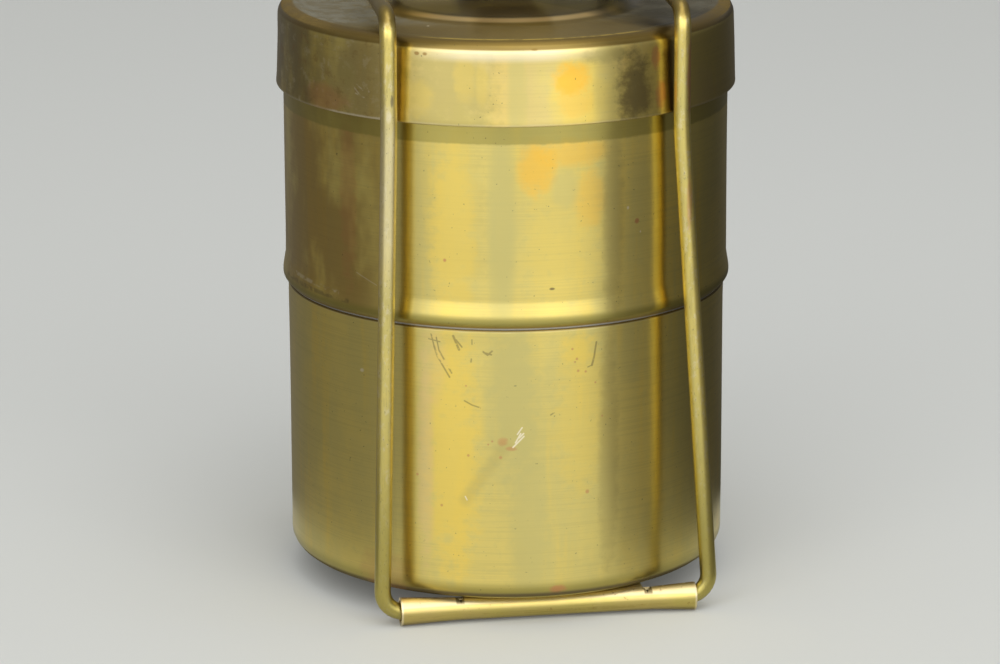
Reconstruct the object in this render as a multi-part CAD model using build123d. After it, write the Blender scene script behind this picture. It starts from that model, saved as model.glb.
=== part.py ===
from build123d import *
import os
from math import cos, radians, sin, sqrt

# Two-tier brass tiffin carrier, millimetres.  X runs along the base barrels, -Y is the front,
# +Z is up, and the origin is on the floor under the containers' common axis.
# The containers and lid are spun sheet, the frames and handle are bent rod, and the base
# strap, catch plate, hasp and grip are rolled from flat sheet.

os.makedirs("parts", exist_ok=True)

# ---- driving dimensions -------------------------------------------------------------------

# Rod and the fits round it
frame_rod_r = 2.3          # the two frames' round rod
running_gap = 0.08         # radial play of a rolled barrel or eye that turns on a rod
solder_gap = 0.03          # radial play of a piece soldered on a rod

# Base strap and its barrels
strap_sheet = 0.8
barrel_short_left = 5.1    # the barrels' open ends stop this far inside the legs' feet
barrel_short_right = 4.75
barrel_flare = 0.75        # how much the ends open out beyond the crimped middle
barrel_wear = 0.1          # depth of the flats worn under the flared ends
nick_left_x = -22.4        # relief nicks beside the flat strap
nick_right_x = 30.7
nick_width = 2.2
nick_reach = 2.75          # how far a nick runs forward of the barrel's top line
flare_start = 0.4          # plain barrel left outside each nick
flare_bend_r = 40.0

# Containers
vessel_sheet = 0.9
lower_outer_r = 62.0
lower_height = 77.77
lower_corner_r = 4.5
upper_step_out = 0.7       # the upper wall stands this much outside the lower one
upper_height = 77.5        # from the seam to the upper rim
bead_proud = 0.7
bead_height = 8.8
bead_foot_in = 0.4         # the bead's foot stops this far inside the lower wall's outside
plug_gap = 0.4             # radial play of the plug in the lower container
plug_depth = 6.0
plug_corner_r = 2.0

# Lid
lid_sheet = 0.9
lid_top_gap = 0.3          # play round the rim at the skirt's top
lid_seat_gap = 0.3         # the rim sits this far under the shoulder's curve
lid_skirt_height = 23.0
lid_skirt_flare = 0.8
lid_corner_r = 3.5
lid_dish = 0.6             # panel's drop inside the shoulder
lid_dish_run = 4.5
dish_edge_r = 1.2
boss_top_r = 31.0
boss_slope = 7.5           # run of the slope from the panel up to the boss
boss_rise = 1.3
panel_bend_r = 8.0

# Frames
leg_left_top_x = -41.0
leg_right_top_x = 39.3
leg_left_foot_x = -44.1
leg_right_foot_x = 49.0
leg_gap = 0.44             # from the lid's skirt to the nearer pair of legs
leg_straight = 33.0        # straight run of the legs below the frame's shoulder
leg_bend_r = 180.0
frame_rise = 6.2           # frame's shoulder bends above the lid's crest
arm_rise = 2.5             # further rise of the arms up to the crossbar
crossbar_y = 6.0           # each crossbar stands this far from the middle
rod_bend_r = 6.0
butt_gap = 0.6             # between the rod's two ends, hidden in the barrel

# Catch, on the front crossbar
plate_sheet = 0.8
catch_width = 24.0
catch_lip = 5.5            # plate left in front of the staple's heads
catch_corner_r = 5.0
staple_rod_r = 1.1
staple_pitch = 7.0
staple_from_bar = 12.0     # staple's middle, forward of the front crossbar
staple_leg = 5.2           # straight leg above the plate
staple_hole_gap = 0.05
staple_head_r = 2.0
staple_head = 0.8

# Hasp, on the rear crossbar
hasp_width = 22.0
slot_side_play = 0.6
slot_end_play = 1.2
hasp_tip = 6.0             # metal left beyond the slot

# Handle, on the rear crossbar
bail_rod_r = 2.0
bail_inset = 10.0          # eyes stand this far inside the frame's legs
grip_past_hasp = 3.6       # grip's clearance beyond the tip of the thrown-back hasp
bail_neck = 5.0            # straight run from the eye before the crank
bail_crank = 8.0           # run of the crank out to the legs
bail_bend_r = 5.0
bail_crank_r = 4.0
bail_eye_sweep = 265.0
bail_droop = 1.5           # degrees below level when the handle lies back on the frame
grip_length = 52.0
grip_mid_r = 4.6
grip_sheet = 0.7
grip_neck = 4.0            # run of each swaged-down end
grip_seam = 0.4

# ---- sizes that follow ----------------------------------------------------------------------

barrel_in_r = frame_rod_r + running_gap
barrel_out_r = barrel_in_r + strap_sheet
barrel_end_r = barrel_out_r + barrel_flare
hinge_z = barrel_end_r - barrel_wear
strap_top_z = hinge_z + barrel_out_r
barrel_left_x = leg_left_foot_x + barrel_short_left
barrel_right_x = leg_right_foot_x - barrel_short_right
strap_left_x = nick_left_x + nick_width / 2
strap_right_x = nick_right_x - nick_width / 2

seam_z = strap_top_z + lower_height
upper_outer_r = lower_outer_r + upper_step_out
bead_outer_r = upper_outer_r + bead_proud
bead_foot_r = lower_outer_r - bead_foot_in
plug_outer_r = lower_outer_r - vessel_sheet - plug_gap
upper_rim_z = seam_z + upper_height

lid_top_r = upper_outer_r + lid_top_gap + lid_sheet
lid_skirt_r = lid_top_r + lid_skirt_flare
crest_r = lid_top_r - lid_corner_r
inner_corner_r = lid_corner_r - lid_sheet
rim_into_corner = inner_corner_r - lid_top_gap
crest_over_rim = lid_corner_r - sqrt(inner_corner_r**2 - rim_into_corner**2)
crest_z = upper_rim_z + lid_seat_gap + crest_over_rim
skirt_z = crest_z - lid_skirt_height
panel_z = crest_z - lid_dish
boss_z = panel_z + boss_rise
boss_foot_r = boss_top_r + boss_slope

# The barrels' axes and the frames' planes, as far out as the skirt pushes the nearer legs
nearer_leg_x = min(-leg_left_top_x, leg_right_top_x)
hinge_y = sqrt((lid_skirt_r + leg_gap + frame_rod_r) ** 2 - nearer_leg_x**2)

shoulder_z = crest_z + frame_rise
leg_bend_z = shoulder_z - leg_straight
crossbar_z = shoulder_z + arm_rise
crossbar_mid_x = (leg_left_top_x + leg_right_top_x) / 2


def spun_sheet(outside, thickness):
    """A vessel turned round the Z axis; its outside line runs so that the metal is on the right."""
    section = make_face(offset(Plane.XZ * outside, thickness, side=Side.RIGHT))
    return revolve(section, Axis.Z)


def rod_along(path, radius):
    """A round rod with its centre on the path."""
    section = Plane(origin=path @ 0, z_dir=path % 0) * Circle(radius)
    return sweep(section, path=path)


def save(name, shape, colour):
    """Write one piece as its own file and say what it holds."""
    shape.label = name
    shape.color = Color(*colour)
    export_step(shape, f"parts/{name}.step")
    print(f"{name:18s} {shape.volume:9.1f} mm3")


brass = (0.72, 0.58, 0.24)
pale_brass = (0.80, 0.70, 0.40)


# ---- base strap -------------------------------------------------------------------------------

def barrel(front):
    """A rolled barrel on the frame's hinge axis, flared at both ends; front is -1 or +1 in Y."""
    plain_left = nick_left_x - nick_width / 2 - flare_start
    plain_right = nick_right_x + nick_width / 2 + flare_start
    outside = FilletPolyline(
        (barrel_left_x, barrel_end_r),
        (plain_left, barrel_out_r),
        (plain_right, barrel_out_r),
        (barrel_right_x, barrel_end_r),
        radius=flare_bend_r,
    )
    inside = Pos(0, -strap_sheet) * outside
    ends = [Line(inside @ t, outside @ t) for t in (0, 1)]
    tube = revolve(make_face([*outside.edges(), *inside.edges(), *ends]), Axis.X)
    return Pos(0, front * hinge_y, hinge_z) * tube


def nick(x, front):
    """The V-shaped relief cut in a barrel's top beside the flat strap."""
    half = nick_width / 2
    back = barrel_end_r + strap_sheet
    plan = Polyline((-half, back), (-half, 0), (0, -nick_reach), (half, 0), (half, back), close=True)
    cut = extrude(make_face(plan), barrel_end_r + strap_sheet)
    turned = cut if front < 0 else Rot(0, 0, 180) * cut
    return Pos(x, front * hinge_y, hinge_z) * turned


def base_strap():
    """Flat strap between two barrels, flush with the barrels' tops, worn flat on the floor."""
    flat = Pos((strap_left_x + strap_right_x) / 2, 0, strap_top_z - strap_sheet / 2) * Box(
        strap_right_x - strap_left_x, 2 * hinge_y, strap_sheet)
    tubes = [barrel(front) for front in (-1, 1)]
    nicks = [nick(x, front) for x in (nick_left_x, nick_right_x) for front in (-1, 1)]
    worn_off = Pos(0, 0, -strap_top_z / 2) * Box(4 * hinge_y, 4 * hinge_y, strap_top_z)
    return flat + tubes - nicks - worn_off


# ---- containers and lid -------------------------------------------------------------------------

def lower_container():
    outside = FilletPolyline(
        (0, strap_top_z), (lower_outer_r, strap_top_z), (lower_outer_r, seam_z), radius=lower_corner_r)
    return spun_sheet(outside, vessel_sheet)


def upper_container():
    """Plug, flat seat on the lower rim, half-round bead, straight wall."""
    bead_top_z = seam_z + bead_height
    plug = FilletPolyline(
        (0, seam_z - plug_depth), (plug_outer_r, seam_z - plug_depth), (plug_outer_r, seam_z),
        radius=plug_corner_r)
    seat = Line((plug_outer_r, seam_z), (bead_foot_r, seam_z))
    bead = ThreePointArc(
        (bead_foot_r, seam_z), (bead_outer_r, seam_z + bead_height / 2), (upper_outer_r, bead_top_z))
    wall = Line((upper_outer_r, bead_top_z), (upper_outer_r, upper_rim_z))
    outside = Wire([*plug.edges(), *seat.edges(), *bead.edges(), *wall.edges()])
    return spun_sheet(outside, vessel_sheet)


def lid():
    """Flared skirt, rounded shoulder, shallow dish and a low raised disc."""
    outside = FilletPolyline(
        (lid_skirt_r, skirt_z),
        (lid_top_r, crest_z),
        (crest_r - lid_dish_run / 2, crest_z),
        (crest_r - lid_dish_run, panel_z),
        (boss_foot_r, panel_z),
        (boss_top_r, boss_z),
        (0, boss_z),
        radius=[lid_corner_r, dish_edge_r, panel_bend_r, panel_bend_r, panel_bend_r],
    )
    return spun_sheet(outside, lid_sheet)


# ---- frames ---------------------------------------------------------------------------------------

def frame():
    """The front rod loop: barrel run, legs, arms in over the lid, crossbar."""
    y, bar = -hinge_y, -crossbar_y
    butt_x = (barrel_left_x + barrel_right_x) / 2
    path = FilletPolyline(
        (butt_x + butt_gap / 2, y, hinge_z),
        (leg_right_foot_x, y, hinge_z),
        (leg_right_top_x, y, leg_bend_z),
        (leg_right_top_x, y, shoulder_z),
        (leg_right_top_x, bar, crossbar_z),
        (leg_left_top_x, bar, crossbar_z),
        (leg_left_top_x, y, shoulder_z),
        (leg_left_top_x, y, leg_bend_z),
        (leg_left_foot_x, y, hinge_z),
        (butt_x - butt_gap / 2, y, hinge_z),
        radius=[rod_bend_r, leg_bend_r, rod_bend_r, rod_bend_r, rod_bend_r, rod_bend_r, leg_bend_r,
                rod_bend_r],
    )
    return rod_along(path, frame_rod_r)


# ---- catch and hasp -----------------------------------------------------------------------------------

def rolled_leaf(inner_r, width, plan):
    """A sheet leaf going to -Y, flush with the top of the roll round the X axis that carries it."""
    roll = Rot(0, 90, 0) * (Cylinder(inner_r + plate_sheet, width) - Cylinder(inner_r, 2 * width))
    leaf = Pos(0, 0, inner_r) * extrude(plan, plate_sheet)
    return roll + leaf


catch_in_r = frame_rod_r + solder_gap
catch_reach = staple_from_bar + staple_pitch / 2 + staple_head_r + catch_lip
staple_middle = (crossbar_mid_x, -crossbar_y - staple_from_bar, crossbar_z + catch_in_r + plate_sheet)
staple_ends_y = (-staple_pitch / 2, staple_pitch / 2)


def catch_plate():
    outline = Pos(0, -catch_reach / 2) * Rectangle(catch_width, catch_reach)
    front_corners = outline.vertices().sort_by(Axis.Y)[:2]
    plan = fillet(front_corners, catch_corner_r)
    holes = [Pos(0, y - staple_from_bar) * Circle(staple_rod_r + staple_hole_gap) for y in staple_ends_y]
    leaf = rolled_leaf(catch_in_r, catch_width, plan - holes)
    return Pos(crossbar_mid_x, -crossbar_y, crossbar_z) * leaf


def catch_staple():
    """A rod arch standing on the plate, with its two ends peened over below it."""
    half = staple_pitch / 2
    below = plate_sheet + staple_head
    arch = Wire([
        *Line((0, -half, -below), (0, -half, staple_leg)).edges(),
        *ThreePointArc((0, -half, staple_leg), (0, 0, staple_leg + half), (0, half, staple_leg)).edges(),
        *Line((0, half, staple_leg), (0, half, -below)).edges(),
    ])
    heads = [Pos(0, y, -below + staple_head / 2) * Cylinder(staple_head_r, staple_head)
             for y in staple_ends_y]
    return Pos(*staple_middle) * (rod_along(arch, staple_rod_r) + heads)


slot_middle = 2 * crossbar_y + staple_from_bar
slot_length = staple_pitch + 2 * staple_rod_r + 2 * slot_end_play
slot_width = 2 * (staple_rod_r + slot_side_play)
hasp_reach = slot_middle + slot_length / 2 + hasp_tip


def hasp():
    """The closed hasp points forward over the staple; it is stored thrown right back."""
    end_r = hasp_width / 2
    straight = hasp_reach - end_r
    plan = Pos(0, -straight / 2) * Rectangle(hasp_width, straight) + Pos(0, -straight) * Circle(end_r)
    slot = Pos(0, -slot_middle) * Rot(0, 0, 90) * SlotOverall(slot_length, slot_width)
    leaf = rolled_leaf(barrel_in_r, hasp_width, plan - slot)
    return Pos(crossbar_mid_x, crossbar_y, crossbar_z) * Rot(180, 0, 0) * leaf


# ---- handle ---------------------------------------------------------------------------------------------

eye_r = frame_rod_r + running_gap + bail_rod_r
eye_half = (leg_right_top_x - leg_left_top_x) / 2 - bail_inset
bail_half = eye_half + bail_inset
bail_reach = hasp_reach + grip_past_hasp + grip_mid_r


def on_rear_bar(shape):
    """Set a handle piece, drawn round the X axis, on the rear crossbar as it lies at rest."""
    return Pos(crossbar_mid_x, crossbar_y, crossbar_z) * Rot(-bail_droop, 0, 0) * shape


def handle_bail():
    """One rod: eye, neck, crank out to the leg, arm, grip run, and the same back again."""
    end = radians(90 + bail_eye_sweep)
    half_way = radians(90 + bail_eye_sweep / 2)

    def eye(x):
        return ThreePointArc(
            (x, eye_r * cos(end), eye_r * sin(end)),
            (x, eye_r * cos(half_way), eye_r * sin(half_way)),
            (x, 0, eye_r))

    body = FilletPolyline(
        (-eye_half, 0, eye_r),
        (-eye_half, bail_neck, eye_r),
        (-bail_half, bail_neck + bail_crank, eye_r),
        (-bail_half, bail_reach, eye_r),
        (bail_half, bail_reach, eye_r),
        (bail_half, bail_neck + bail_crank, eye_r),
        (eye_half, bail_neck, eye_r),
        (eye_half, 0, eye_r),
        radius=[bail_crank_r, bail_crank_r, bail_bend_r, bail_bend_r, bail_crank_r, bail_crank_r],
    )
    path = Wire([*eye(-eye_half).edges(), *body.edges(), *eye(eye_half).edges()])
    return on_rear_bar(rod_along(path, bail_rod_r))


def handle_grip():
    """A sheet sleeve, swaged down on to the rod at both ends, with an open seam."""
    half = grip_length / 2
    neck_r = bail_rod_r + running_gap + grip_sheet
    outside = FilletPolyline(
        (-half, neck_r), (-half + grip_neck, grip_mid_r), (half - grip_neck, grip_mid_r), (half, neck_r),
        radius=bail_bend_r)
    inside = Pos(0, -grip_sheet) * outside
    ends = [Line(inside @ t, outside @ t) for t in (0, 1)]
    tube = revolve(make_face([*outside.edges(), *inside.edges(), *ends]), Axis.X)
    seam = Pos(0, grip_mid_r, 0) * Box(2 * grip_length, 2 * grip_mid_r, grip_seam)
    return on_rear_bar(Pos(0, bail_reach, eye_r) * (tube - seam))


# ---- write the pieces -----------------------------------------------------------------------

front_frame = frame()

save("base_strap", base_strap(), pale_brass)
save("lower_container", lower_container(), brass)
save("upper_container", upper_container(), brass)
save("lid", lid(), brass)
save("front_frame", front_frame, pale_brass)
save("rear_frame", mirror(front_frame, about=Plane.XZ), pale_brass)
save("catch_plate", catch_plate(), brass)
save("catch_staple", catch_staple(), pale_brass)
save("hasp", hasp(), brass)
save("handle_bail", handle_bail(), pale_brass)
save("handle_grip", handle_grip(), pale_brass)

# Where the joints and the main levels lie
droop = radians(bail_droop)
grip_y = crossbar_y + bail_reach * cos(droop) + eye_r * sin(droop)
grip_z = crossbar_z - bail_reach * sin(droop) + eye_r * cos(droop)
print(f"hinges of the frames  y {hinge_y:.3f}  z {hinge_z:.3f}")
print(f"rear crossbar         y {crossbar_y:.3f}  z {crossbar_z:.3f}  x {crossbar_mid_x:.3f}")
print(f"grip axis             y {grip_y:.3f}  z {grip_z:.3f}")
print(f"strap top {strap_top_z:.2f}  seam {seam_z:.2f}  rim {upper_rim_z:.2f}  crest {crest_z:.2f}")
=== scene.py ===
"""A two-tier brass tiffin carrier: spun containers and lid, rod frames, catch, hasp, handle."""

from math import cos, pi, radians, sin, tan

import bmesh
import bpy
import numpy as np
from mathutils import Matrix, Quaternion, Vector


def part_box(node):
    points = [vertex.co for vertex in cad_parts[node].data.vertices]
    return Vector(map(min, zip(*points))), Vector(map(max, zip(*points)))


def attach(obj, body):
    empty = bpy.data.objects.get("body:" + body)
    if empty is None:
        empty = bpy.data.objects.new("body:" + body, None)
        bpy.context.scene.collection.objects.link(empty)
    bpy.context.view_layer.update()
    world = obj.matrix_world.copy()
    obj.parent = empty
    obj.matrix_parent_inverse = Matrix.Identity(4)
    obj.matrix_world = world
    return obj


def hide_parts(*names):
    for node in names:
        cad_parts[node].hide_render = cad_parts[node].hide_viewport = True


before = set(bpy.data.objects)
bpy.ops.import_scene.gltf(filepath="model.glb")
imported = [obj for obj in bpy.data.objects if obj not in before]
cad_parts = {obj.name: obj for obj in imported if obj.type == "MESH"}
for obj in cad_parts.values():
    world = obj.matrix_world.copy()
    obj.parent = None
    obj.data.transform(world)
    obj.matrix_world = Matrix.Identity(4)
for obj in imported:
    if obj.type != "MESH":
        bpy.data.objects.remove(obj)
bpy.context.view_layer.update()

MM = 0.001


def box_mm(node):
    """Lowest and highest corner of a CAD node, in millimetres."""
    low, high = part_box(node)
    return np.array(low) / MM, np.array(high) / MM


# ---- sizes, in millimetres ----

lower_low, lower_high = box_mm("lower_container")
upper_low, upper_high = box_mm("upper_container")
lid_low, lid_high = box_mm("lid")
strap_low, strap_high = box_mm("base_strap")
front_low, front_high = box_mm("front_frame")
grip_low, grip_high = box_mm("handle_grip")

sheet = 0.9                 # the containers' and the lid's metal
lip = 0.4                   # radius worn on every cut edge of that sheet
lower_r = lower_high[0]
strap_top_z = lower_low[2]
seam_z = lower_high[2]
lower_corner_r = 4.5

bead_r = upper_high[0]
bead_proud = 0.75           # how far the bead stands out from the wall above it
bead_height = 8.8
bead_foot_set_back = 0.4    # from the lower container's wall
bead_widest = (2.0, 3.6)    # heights above the seam between which it is widest
bead_blend = 0.8            # from the end of its slope to the plain wall
bead_top_z = seam_z + bead_height
upper_r = bead_r - bead_proud
upper_rim_z = upper_high[2]
bead_foot_r = lower_r - bead_foot_set_back
plug_gap = 0.4              # play of the plug in the lower container
plug_r = lower_r - sheet - plug_gap
plug_z = upper_low[2]
plug_corner_r = 2.0

skirt_r = lid_high[0]
skirt_z = lid_low[2]
skirt_spread = 0.8          # how much wider the skirt is at its edge than at the shoulder
boss_z = lid_high[2]
boss_height = 1.3           # from the sunk panel round it
crest_height = 0.6
lid_r = skirt_r - skirt_spread
lid_corner_r = 3.5
panel_z = boss_z - boss_height
crest_z = panel_z + crest_height
crest_r = lid_r - lid_corner_r
panel_r = crest_r - 4.5     # where the sunk panel ends and the rise to the crest starts
crest_inner_r = crest_r - 2.25
boss_r, boss_foot_r = 31.0, 38.5

rod_r = 2.3
running_gap = 0.08          # play of a barrel, an eye or the grip on its rod
hinge_y = -(front_low[1] + rod_r)
strap_sheet = 0.8
barrel_r = rod_r + running_gap + strap_sheet
hinge_z = strap_top_z - barrel_r
foot_x = (front_low[0] + rod_r, front_high[0] - rod_r)    # the left and the right leg
top_x = (-41.0, 39.3)
arm_rise = 2.5              # from the legs' shoulder to the crossbar
leg_straight = 33.0         # straight run of the legs below their shoulder
crossbar_z = front_high[2] - rod_r
shoulder_z = crossbar_z - arm_rise
leg_bend_z = shoulder_z - leg_straight
leg_bend_r = 180.0
rod_bend_r = 6.0
crossbar_y = 6.0
middle_x = sum(top_x) / 2


# ---- meshes ----

def ramp(value, start, end):
    """An even rise from 0, at start, to 1, at end."""
    return np.clip((value - start) / (end - start), 0, 1)


def grid_of(x, y, z):
    """A grid of points, from coordinates that vary along its rows, its columns, both or neither."""
    return np.stack(np.broadcast_arrays(x, y, z), -1)


def full_turn(steps):
    return np.linspace(0, 2 * pi, steps, endpoint=False)


def in_scene(name, data):
    """A new object, linked to the scene."""
    made = bpy.data.objects.new(name, data)
    bpy.context.collection.objects.link(made)
    return made


def dressed(piece, material):
    piece.data.materials.append(material)
    return piece


def rounded(points, radii, step, fewest=7):
    """A polyline with rounded corners: a point every step or less, the fewest or more on an arc.

    With unit vectors u and v from a corner to its neighbours and the angle b between them, the arc
    starts radius / tan(b / 2) from the corner and its centre is radius / sin(b / 2) along u + v.
    """
    points = np.asarray(points, float)
    line = [points[:1]]
    for corner, before, after, radius in zip(points[1:-1], points[:-2], points[2:], radii):
        u = (before - corner) / np.linalg.norm(before - corner)
        v = (after - corner) / np.linalg.norm(after - corner)
        half = np.arccos(np.clip(u @ v, -1, 1)) / 2
        centre = corner + (u + v) / np.linalg.norm(u + v) * radius / sin(half)
        a = corner + u * radius / tan(half) - centre
        b = corner + v * radius / tan(half) - centre
        turn = pi - 2 * half
        k = np.linspace(0, 1, max(fewest, int(radius * turn / step) + 2))[:, None]
        line.append(centre + (np.sin((1 - k) * turn) * a + np.sin(k * turn) * b) / sin(turn))
    line.append(points[-1:])
    dense = [line[0]]
    for arc in line[1:]:
        gap = np.linalg.norm(arc[0] - dense[-1][-1])
        k = np.linspace(0, 1, max(2, int(gap / step) + 2))[1:-1, None]
        dense += [dense[-1][-1] * (1 - k) + arc[0] * k, arc]
    return np.concatenate(dense)


def surface(name, grid, wrap_rows=False, wrap_columns=False, closed=True):
    """A mesh of quads on a grid of points, rows by columns, in millimetres.

    Rows that shrink to a point, and seams that meet, are merged; a closed form faces outwards.
    """
    rows, columns = grid.shape[:2]
    row = np.arange(rows if wrap_rows else rows - 1)[:, None]
    column = np.arange(columns if wrap_columns else columns - 1)[None, :]
    next_row, next_column = (row + 1) % rows, (column + 1) % columns
    quads = np.stack([row * columns + column, row * columns + next_column,
                      next_row * columns + next_column, next_row * columns + column], -1)
    mesh = bpy.data.meshes.new(name)
    mesh.from_pydata((grid.reshape(-1, 3) * MM).tolist(), [], quads.reshape(-1, 4).tolist())
    tidy = bmesh.new()
    tidy.from_mesh(mesh)
    bmesh.ops.remove_doubles(tidy, verts=tidy.verts, dist=1e-7)
    if closed:
        bmesh.ops.recalc_face_normals(tidy, faces=tidy.faces)
    tidy.to_mesh(mesh)
    tidy.free()
    mesh.polygons.foreach_set("use_smooth", np.ones(len(mesh.polygons), bool))
    return in_scene(name, mesh)


def both_sides(points, radii, side):
    """The outline of a sheet: its outside line, the worn lip and the line parallel to it inside.

    Each inside corner is sheet / cos(turn / 2) along the bisector of its outside corner, and its
    radius is smaller by the sheet where the line turns towards the inside.
    """
    points = np.asarray(points, float)
    along = np.diff(points, axis=0)
    along /= np.linalg.norm(along, axis=1)[:, None]
    inward = side * np.stack([-along[:, 1], along[:, 0]], 1)
    bisector = inward[:-1] + inward[1:]
    bisector /= np.linalg.norm(bisector, axis=1)[:, None]
    cosine = (bisector * inward[1:]).sum(1)
    inner = points[1:-1] + sheet * bisector / cosine[:, None]
    turns_in = np.sign(side * (along[:-1, 0] * along[1:, 1] - along[:-1, 1] * along[1:, 0]))
    sharpest = 0.3
    inner_radii = np.maximum(np.asarray(radii) - sheet * turns_in, sharpest)
    first, last = points[0] + sheet * inward[0], points[-1] + sheet * inward[-1]
    return (np.vstack([points, last, inner[::-1], first]), [*radii, lip, lip, *inner_radii[::-1]])


def spun(name, points, radii, side, unevenness, turns=384, step=1.3):
    """A spun sheet: (r cos a, r sin a, z) over the sheet's outline (r, z) and the angle a.

    The unevenness gives the outward and upward shift of every point, as functions of a, r and z.
    The outward shift falls to nothing at the axis, from the fading radius on.
    """
    fading_r = 20
    outline = rounded(*both_sides(points, radii, side), step)
    a = full_turn(turns)[None, :]
    r, z = outline[:, :1], outline[:, 1:]
    out, up = unevenness(a, r, z)
    wide = r + out * ramp(r, 0, fading_r)
    grid = grid_of(wide * np.cos(a), wide * np.sin(a), z + up)
    return surface(name, grid, wrap_columns=True)


def rod(name, path, radius, sides=32, end_round=0.5):
    """A round rod: path + radius (cos v n + sin v b), with n and b square to the path's direction.

    The radius falls as a quarter circle over the last end_round of each end.
    """
    direction = np.gradient(path, axis=0)
    direction /= np.linalg.norm(direction, axis=1)[:, None]
    askew = (0.58, -0.62, 0.53)    # a direction in which no rod runs
    normal = np.cross(direction, askew)
    normal /= np.linalg.norm(normal, axis=1)[:, None]
    binormal = np.cross(direction, normal)
    length = np.concatenate([[0], np.cumsum(np.linalg.norm(np.diff(path, axis=0), axis=1))])
    from_end = np.clip(np.minimum(length, length[-1] - length) / end_round, 0, 1)
    wide = (radius * np.sqrt(from_end * (2 - from_end)))[:, None, None]
    v = full_turn(sides)[None, :, None]
    grid = path[:, None] + wide * (np.cos(v) * normal[:, None] + np.sin(v) * binormal[:, None])
    return surface(name, grid, wrap_columns=True)


def with_ends(path, run):
    """The path with extra points close to its two ends, for rounding them."""
    k = np.linspace(0, 1, 7)[:, None] ** 2
    first, last = path[1] - path[0], path[-2] - path[-1]
    start = path[0] + first / np.linalg.norm(first) * run * k
    finish = path[-1] + last / np.linalg.norm(last) * run * k[::-1]
    return np.concatenate([start, path[1:-1], finish])


# ---- materials ----

def operator(operation):
    """A method that adds a Math node of two inputs."""
    return lambda self, other: self.math(operation, self, other)


class Wire:
    """One output of a node tree; arithmetic on it adds Math nodes."""

    def __init__(self, nodes, socket):
        self.nodes, self.socket = nodes, socket

    def math(self, operation, *values):
        inputs = dict(enumerate(values))
        return self.nodes.node("ShaderNodeMath", {"operation": operation}, inputs)

    __add__ = __radd__ = operator("ADD")
    __mul__ = __rmul__ = operator("MULTIPLY")
    __sub__, __truediv__, __pow__ = operator("SUBTRACT"), operator("DIVIDE"), operator("POWER")
    above, below = operator("MAXIMUM"), operator("MINIMUM")

    def __rsub__(self, other):
        return self.math("SUBTRACT", other, self)

    def root(self):
        return self.math("SQRT", self)

    def size(self):
        return self.math("ABSOLUTE", self)


class Nodes:
    """A node tree and short ways to add to it."""

    def __init__(self, tree):
        self.tree = tree

    def feed(self, socket, value):
        """Link a wire to a socket, or set its value."""
        if isinstance(value, Wire):
            self.tree.links.new(value.socket, socket)
        else:
            socket.default_value = value

    def node(self, kind, settings=None, inputs=None, output=0):
        """Add a node, set its settings, then set or link its sockets, and give one output."""
        made = self.tree.nodes.new(kind)
        for key, value in (settings or {}).items():
            if key == "stops":
                marks = made.color_ramp.elements
                for extra in value[2:]:
                    marks.new(extra[0])
                for stop, (at, level) in zip(marks, value):
                    stop.position, stop.color = at, (level, level, level, 1.0)
            else:
                setattr(made, key, value)
        for key, value in (inputs or {}).items():
            self.feed(made.inputs[key], value)
        return Wire(self, made.outputs[output])

    def axes(self, coordinates, names):
        """The named axes of the texture coordinates."""
        place = self.node("ShaderNodeTexCoord", output=coordinates)
        return [self.node("ShaderNodeSeparateXYZ", inputs={0: place}, output=name)
                for name in names]

    def noise(self, place, detail=3.0, roughness=0.55):
        """Noise from about 0.25 to 0.75, of one cell per unit of the place given."""
        return self.node("ShaderNodeTexNoise", inputs={
            "Vector": place, "Scale": 1.0, "Detail": detail, "Roughness": roughness})

    def step(self, value, start, end, low=0.0, high=1.0):
        """A smooth step from low, at start, to high, at end."""
        return self.node("ShaderNodeMapRange", {"interpolation_type": "SMOOTHSTEP"}, {
            "Value": value, "From Min": start, "From Max": end, "To Min": low, "To Max": high})

    def read(self, value, stops):
        """The level at a value, straight from each (value, level) stop to the next."""
        low, high = stops[0][0], stops[-1][0]
        along = self.node("ShaderNodeMapRange", inputs={
            "Value": value, "From Min": low, "From Max": high})
        places = [((at - low) / (high - low), level) for at, level in stops]
        return self.node("ShaderNodeValToRGB", {"stops": places}, {0: along})

    def blend(self, share, first, second):
        """The second colour laid over the first by its share."""
        return self.node("ShaderNodeMix", {"data_type": "RGBA"}, {
            0: share, 6: first, 7: second}, output=2)


class Finish(Nodes):
    """A material, with the Object coordinates that its patterns use, in metres."""

    def __init__(self, name):
        self.material = bpy.data.materials.new(name)
        self.material.use_nodes = True
        super().__init__(self.material.node_tree)
        self.x, self.y, self.z = self.axes("Object", "XYZ")

    def in_mm(self):
        """The coordinates in millimetres."""
        return [axis * (1 / MM) for axis in (self.x, self.y, self.z)]

    def stretched(self, across, up):
        """The coordinates scaled alike across and otherwise along Z."""
        return self.node("ShaderNodeCombineXYZ", inputs={
            0: self.x * across, 1: self.y * across, 2: self.z * up})

    def bump(self, height, strength, distance):
        """A normal bent by a height, which is scaled by the distance in metres."""
        return self.node("ShaderNodeBump", inputs={
            "Strength": strength, "Distance": distance, "Height": height})

    def shade(self, **sockets):
        """Set or link the shader's sockets, whose names are given with _ for a space."""
        shader = self.tree.nodes["Principled BSDF"]
        for key, value in sockets.items():
            self.feed(shader.inputs[key.replace("_", " ")], value)
        return self.material


def opaque(red, green, blue):
    return (red, green, blue, 1.0)


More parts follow.
